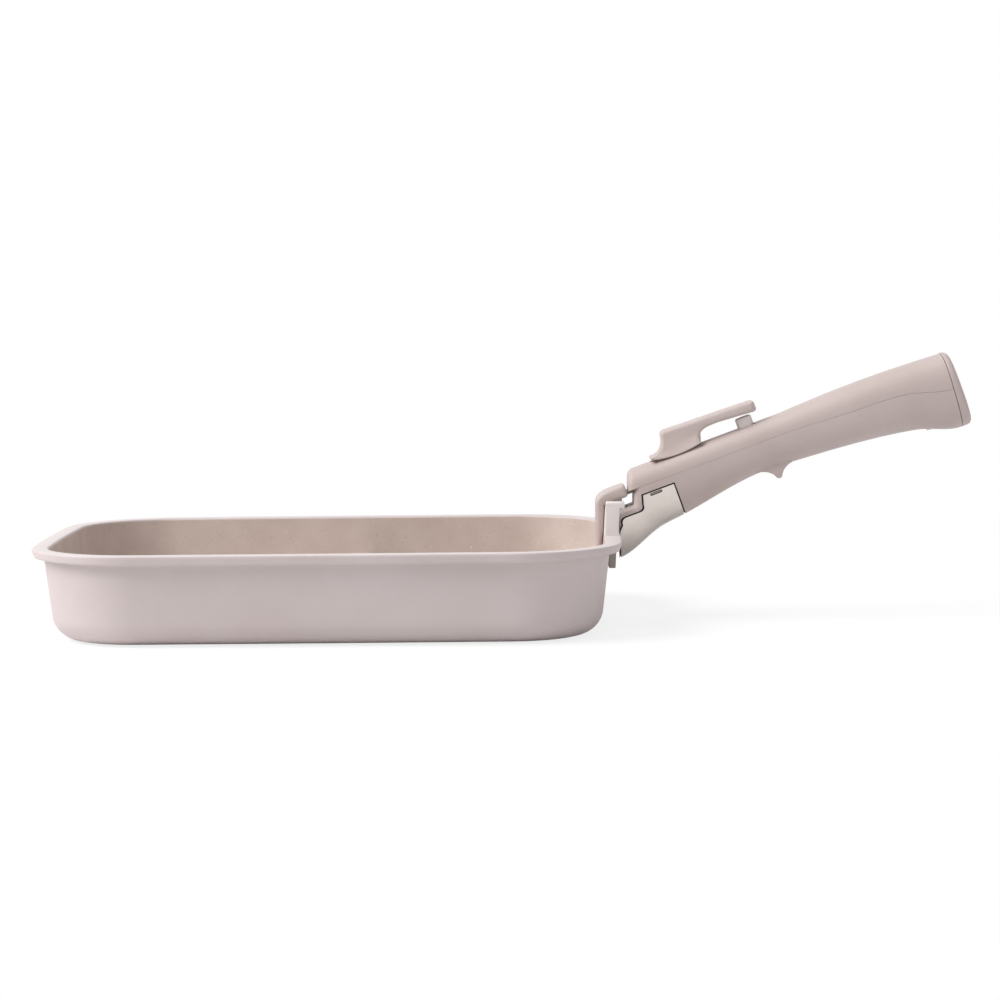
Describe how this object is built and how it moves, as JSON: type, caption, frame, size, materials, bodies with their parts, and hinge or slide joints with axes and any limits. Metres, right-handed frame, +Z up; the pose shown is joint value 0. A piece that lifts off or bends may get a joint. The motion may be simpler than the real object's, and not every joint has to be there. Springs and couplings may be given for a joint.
{
  "type": "frying pan",
  "caption": "Shallow rectangular frying pan with low dividing ridges inside, a raised rim tab and a detachable clamp handle with a sliding jaw, thumb slide and lock button.",
  "frame": {"origin": "centre of the base plate's underside, on the hob", "axes": "+Z up, +X along the pan's length towards the handle, +Y to the far long side"},
  "size_m": [0.443, 0.205, 0.1268],
  "materials": {
    "pan_coating": "greige non-stick coat over die-cast aluminium, satin",
    "stainless": "satin stainless sheet",
    "grip_resin": "fine matte greige resin",
    "jaw_resin": "matte heat-resistant resin",
    "fastener_steel": "plated steel",
    "spring_steel": "drawn wire"
  },
  "bodies": {
    "pan": {"pan_body": "pan_coating", "induction_base_plate": "stainless"},
    "handle": {"upper_grip_shell": "grip_resin", "lower_grip_shell": "grip_resin", "end_cap": "grip_resin", "flame_guard": "stainless", "guard_screw": "fastener_steel", "fixed_jaw": "jaw_resin", "fixed_jaw_screw_near": "fastener_steel", "fixed_jaw_screw_far": "fastener_steel", "slide_channel": "stainless", "channel_screw_front": "fastener_steel", "channel_screw_rear": "fastener_steel", "shell_screw_front": "fastener_steel", "shell_screw_rear": "fastener_steel", "clamp_spring": "spring_steel", "lock_spring": "spring_steel"},
    "clamp": {"hook_plate": "stainless", "jaw_cover": "grip_resin", "slide_carriage": "jaw_resin", "thumb_slide": "grip_resin", "slide_screw_front": "fastener_steel", "slide_screw_rear": "fastener_steel"},
    "button": {"lock_button": "grip_resin", "latch_pin": "stainless"}
  },
  "joints": [
    {"name": "handle_lift", "type": "slide", "parent": "pan", "child": "handle", "axis": [0.0523, 0, 0.9986], "range_m": [0, 0.06]},
    {"name": "clamp_slide", "type": "slide", "parent": "handle", "child": "clamp", "axis": [-0.9397, 0, -0.342], "range_m": [0, 0.012], "stiffness_N_per_m": 600, "springref_m": -0.01, "deforming": ["clamp_spring"]},
    {"name": "lock_press", "type": "slide", "parent": "handle", "child": "button", "axis": [0.342, 0, -0.9397], "range_m": [0, 0.0022], "stiffness_N_per_m": 500, "springref_m": -0.002, "deforming": ["lock_spring"]}
  ]
}
